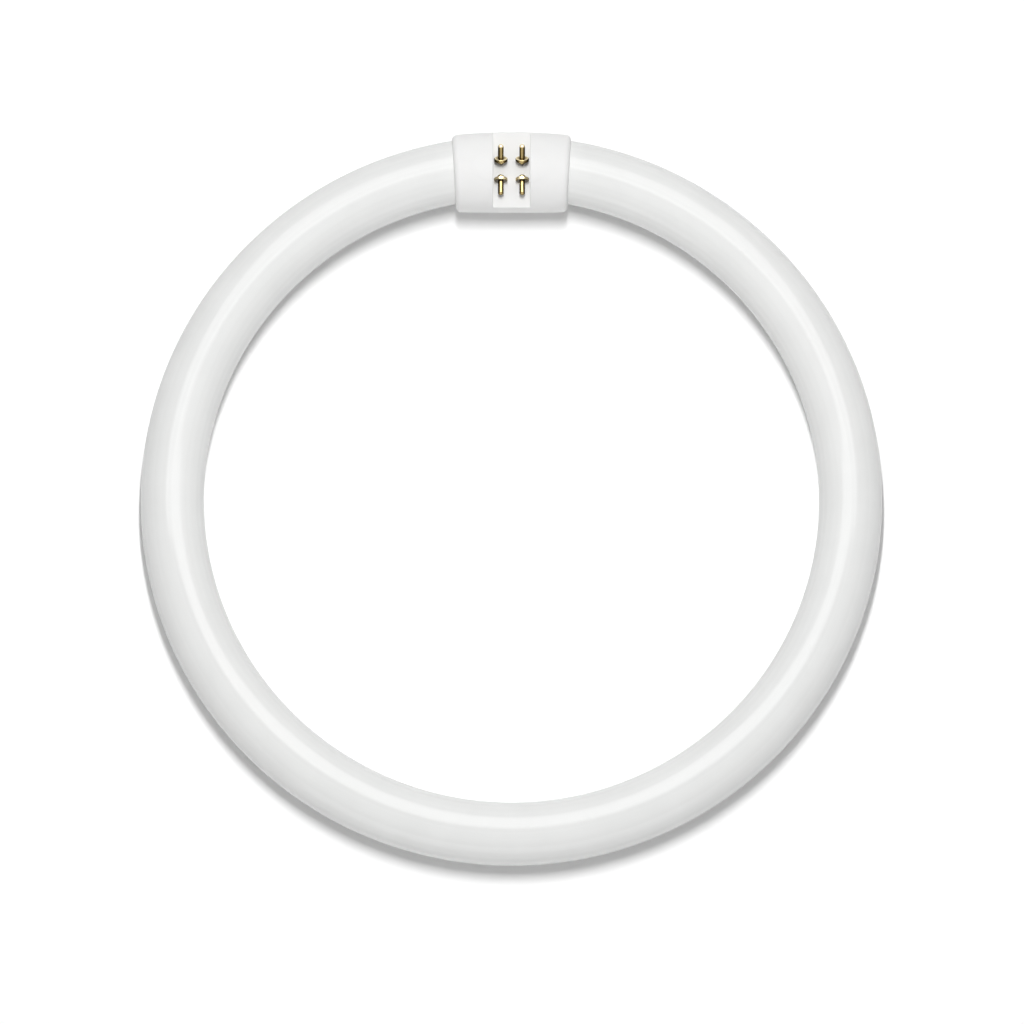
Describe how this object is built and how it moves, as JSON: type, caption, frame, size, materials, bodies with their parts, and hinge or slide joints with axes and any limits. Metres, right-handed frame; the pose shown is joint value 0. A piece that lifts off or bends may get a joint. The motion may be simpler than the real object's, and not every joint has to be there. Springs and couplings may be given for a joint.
{
  "type": "circular fluorescent tube",
  "caption": "Ring-shaped fluorescent tube in white glass, with a two-part moulded base that carries splayed brass contact pins in a recess.",
  "frame": {"origin": "the ring's centre, on the middle plane of the glass; the centre of the box round the whole lamp is 0.8 mm from it, towards the base", "axes": "+Z along the ring's axis, on the side that the pins stand on; +Y from the ring's centre to the base; +X to the right seen from +Z"},
  "size_m": [0.305, 0.3066, 0.0331],
  "materials": {
    "coated_glass": "smooth clear glass over an opaque white powder coat",
    "white_plastic": "satin moulded plastic",
    "pin_brass": "polished, turned",
    "lead_metal": "plain drawn wire"
  },
  "bodies": {
    "root": {"glass_tube": "coated_glass", "base_upper_housing": "white_plastic", "base_lower_housing": "white_plastic", "pin_outer_left": "pin_brass", "pin_outer_right": "pin_brass", "pin_inner_left": "pin_brass", "pin_inner_right": "pin_brass", "lead_wire_outer_left": "lead_metal", "lead_wire_outer_right": "lead_metal", "lead_wire_inner_left": "lead_metal", "lead_wire_inner_right": "lead_metal"}
  },
  "joints": []
}
